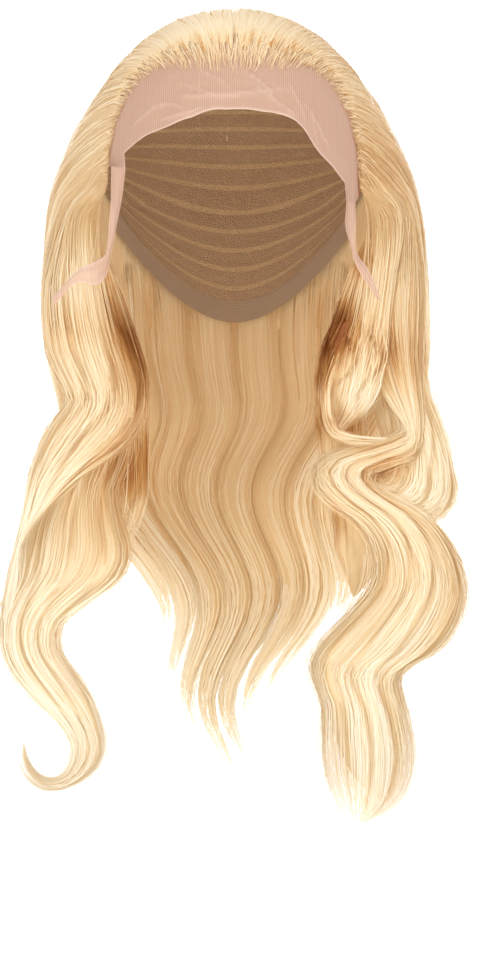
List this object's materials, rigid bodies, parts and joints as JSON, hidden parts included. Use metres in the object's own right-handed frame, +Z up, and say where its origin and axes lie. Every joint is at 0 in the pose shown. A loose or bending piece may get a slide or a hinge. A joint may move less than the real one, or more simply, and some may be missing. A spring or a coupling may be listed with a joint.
{
  "type": "lace front wig",
  "caption": "Long blonde wig swept back from a sheer uncut lace front on a net cap, its hair falling forward in waved tresses and down the back in locks.",
  "frame": {"origin": "inside of the cap's crown, where the wig sits on a head", "axes": "-Y towards the front of the face, +X to the right seen from the front, +Z up"},
  "size_m": [0.255, 0.2094, 0.4498],
  "materials": {
    "lace": "sheer fine net, matt",
    "net": "stretch net, matt",
    "band": "woven elastic, matt",
    "hair": "pale golden blonde hair with a silky sheen",
    "hair_shade": "deeper golden hair with a silky sheen"
  },
  "bodies": {
    "root": {"lace_front": "lace", "cap_crown": "net", "nape_band": "band", "crown_hair_left": "hair", "crown_hair_right": "hair", "side_hair_left": "hair", "side_hair_right": "hair", "front_fall_left": "hair", "hook_wave_left": "hair", "neck_lock_left": "hair_shade", "front_fall_right": "hair", "loop_lock_right": "hair", "outer_fall_right": "hair", "cross_wave_right": "hair", "neck_lock_right": "hair_shade", "mane_lock_1": "hair", "mane_lock_2": "hair", "mane_lock_3": "hair", "mane_lock_4": "hair", "mane_lock_5": "hair", "mane_lock_6": "hair", "mane_lock_7": "hair", "mane_lock_8": "hair"}
  },
  "joints": []
}
